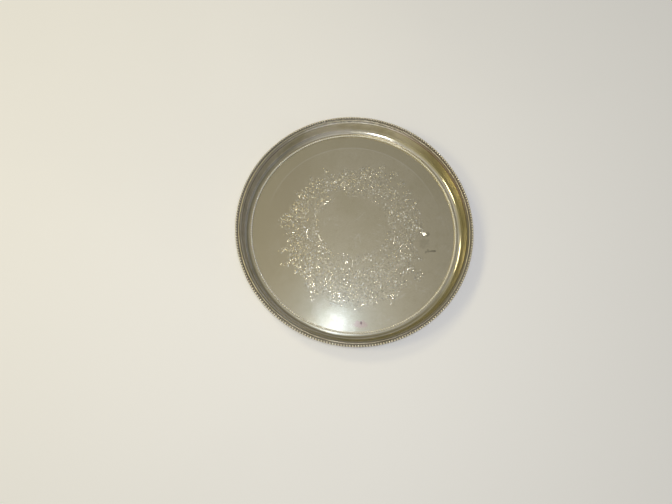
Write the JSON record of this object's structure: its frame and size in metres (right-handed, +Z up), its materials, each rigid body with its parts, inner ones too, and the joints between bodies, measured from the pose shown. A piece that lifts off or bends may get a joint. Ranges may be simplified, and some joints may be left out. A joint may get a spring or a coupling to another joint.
{
  "type": "round serving tray",
  "caption": "Round metal salver with a flat engraved floor, a low raised wall, a bead ring round the floor and a beaded rim.",
  "frame": {"origin": "centre of the foot ring, on the surface that the tray lies on", "axes": "+Z up out of the tray's open side; +Y towards the top of the engraving"},
  "size_m": [0.3046, 0.3046, 0.0235],
  "materials": {
    "engraved_silver_plate": "worn silver plate, chased, with fine scratches and light tarnish",
    "spun_silver_plate": "silver plate with fine turning marks and warm tarnish",
    "inner_bead_silver": "worn silver plate, tarnish between the beads",
    "rim_bead_silver": "silver plate worn towards the copper on the crowns, tarnish between the beads",
    "thread_silver": "polished silver plate",
    "brass_wire": "dull drawn wire"
  },
  "bodies": {
    "root": {"floor_plate": "engraved_silver_plate", "gallery_wall": "spun_silver_plate", "inner_bead_wire": "inner_bead_silver", "rim_bead_wire": "rim_bead_silver", "rim_thread_wire": "thread_silver", "rim_stiffening_wire": "brass_wire"}
  },
  "joints": []
}
